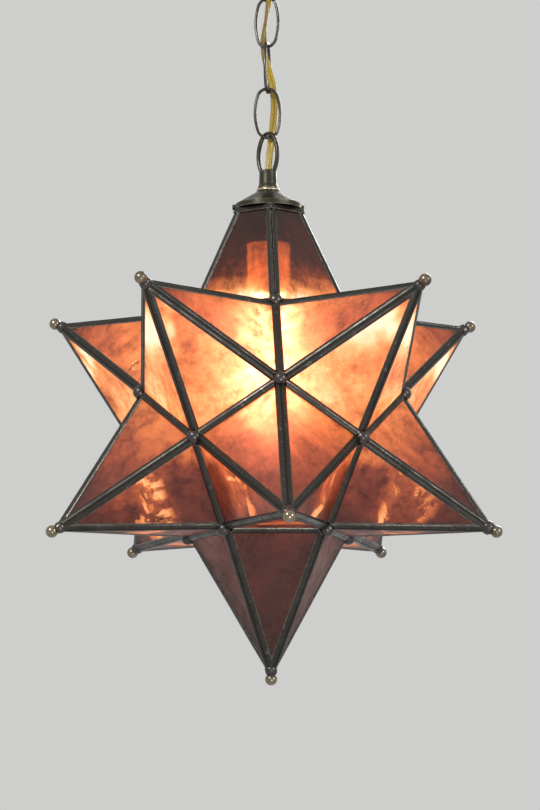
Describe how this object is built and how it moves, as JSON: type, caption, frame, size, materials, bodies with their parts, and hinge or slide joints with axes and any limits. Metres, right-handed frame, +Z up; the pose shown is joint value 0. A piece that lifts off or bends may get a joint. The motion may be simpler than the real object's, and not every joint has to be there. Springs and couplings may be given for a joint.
{
  "type": "moravian star pendant light",
  "caption": "Star-shaped pendant lamp of glass panes in soldered metal came, hung by a cap, cast loop and oval-link chain from a ceiling canopy, with lampholder and tubular bulb inside.",
  "frame": {"origin": "middle of the canopy's rim, on the ceiling plane", "axes": "+Z up through the ceiling, -Y to the front, where one lower spike points; the star hangs below"},
  "size_m": [0.3498, 0.3672, 0.6582],
  "materials": {
    "copper_glass": "antiqued copper-amber glass, mottled and smoky",
    "antique_came": "dark antique pewter, worn on the edges",
    "brass_ball": "worn brass over dark solder",
    "solder": "tarnished solder",
    "antique_bronze": "antique bronze with a greenish-grey patina",
    "bright_brass": "bright brass",
    "chain_bronze": "antique nickel, bright where it wears",
    "gold_cord": "clear gold lamp cord",
    "zinc_steel": "zinc plate",
    "green_screw": "green ground screw",
    "socket_brass": "brass-plated sheet",
    "fibre_sleeve": "fibre sleeve",
    "phenolic": "phenolic",
    "bulb_cap_metal": "bulb cap",
    "black_glass": "black glass",
    "bulb_glass": "soft clear glass",
    "filament": "glowing filament"
  },
  "bodies": {
    "ceiling_fitting": {"canopy": "antique_bronze", "canopy_loop": "antique_bronze", "collar_ring": "antique_bronze", "crossbar": "zinc_steel", "ground_screw": "green_screw", "ceiling_nipple": "zinc_steel", "ceiling_nut": "zinc_steel", "supply_cord": "gold_cord"},
    "link_4": {"chain_link_4": "chain_bronze"},
    "link_3": {"chain_link_3": "chain_bronze"},
    "link_2": {"chain_link_2": "chain_bronze"},
    "link_1": {"chain_link_1": "chain_bronze"},
    "cap_and_lampholder": {"hang_loop": "antique_bronze", "check_ring": "bright_brass", "cap": "antique_bronze", "cap_screws": "antique_bronze", "nipple": "zinc_steel", "cap_nut": "zinc_steel", "socket_cap": "socket_brass", "socket_shell": "socket_brass", "socket_liner": "fibre_sleeve", "socket_interior": "phenolic", "terminal_screws": "bright_brass", "screw_shell": "socket_brass", "socket_contact": "bright_brass"},
    "bulb": {"bulb_base": "bulb_cap_metal", "bulb_insulator": "black_glass", "bulb_contact": "solder", "bulb_glass": "bulb_glass", "bulb_stem": "bulb_glass", "bulb_filament": "filament"},
    "star": {"glass_top": "copper_glass", "glass_upper_1": "copper_glass", "glass_upper_2": "copper_glass", "glass_upper_3": "copper_glass", "glass_upper_4": "copper_glass", "glass_upper_5": "copper_glass", "glass_lower_1": "copper_glass", "glass_lower_2": "copper_glass", "glass_lower_3": "copper_glass", "glass_lower_4": "copper_glass", "glass_lower_5": "copper_glass", "glass_bottom": "copper_glass", "ridges_top": "antique_came", "ridges_upper_1": "antique_came", "ridges_upper_2": "antique_came", "ridges_upper_3": "antique_came", "ridges_upper_4": "antique_came", "ridges_upper_5": "antique_came", "ridges_lower_1": "antique_came", "ridges_lower_2": "antique_came", "ridges_lower_3": "antique_came", "ridges_lower_4": "antique_came", "ridges_lower_5": "antique_came", "ridges_bottom": "antique_came", "valleys_upper": "antique_came", "valleys_lower": "antique_came", "tip_balls": "brass_ball", "junction_balls": "solder", "neck_frame": "antique_came"}
  },
  "joints": [
    {"name": "loop_to_link_4", "type": "hinge", "parent": "ceiling_fitting", "child": "link_4", "pos_m": [0, 0, -0.0704], "axis": [0.866, -0.5, 0], "range_deg": [-25, 25], "deforming": ["supply_cord"]},
    {"name": "link_4_to_link_3", "type": "hinge", "parent": "link_4", "child": "link_3", "pos_m": [0, 0, -0.1076], "axis": [0.5, 0.866, 0], "range_deg": [-25, 25], "deforming": ["supply_cord"]},
    {"name": "link_3_to_link_2", "type": "hinge", "parent": "link_3", "child": "link_2", "pos_m": [0, 0, -0.1453], "axis": [0.866, -0.5, 0], "range_deg": [-25, 25], "deforming": ["supply_cord"]},
    {"name": "link_2_to_link_1", "type": "hinge", "parent": "link_2", "child": "link_1", "pos_m": [0, 0, -0.183], "axis": [0.2588, 0.9659, 0], "range_deg": [-25, 25], "deforming": ["supply_cord"]},
    {"name": "link_1_to_hang_loop", "type": "hinge", "parent": "link_1", "child": "cap_and_lampholder", "pos_m": [0, 0, -0.2207], "axis": [1, 0, 0], "range_deg": [-25, 25], "deforming": ["supply_cord"]},
    {"name": "star_drop", "type": "slide", "parent": "cap_and_lampholder", "child": "star", "axis": [0, 0, 1], "range_m": [-0.19, 0]},
    {"name": "bulb_unscrew", "type": "slide", "parent": "cap_and_lampholder", "child": "bulb", "axis": [0, 0, 1], "range_m": [-0.026, 0]}
  ]
}
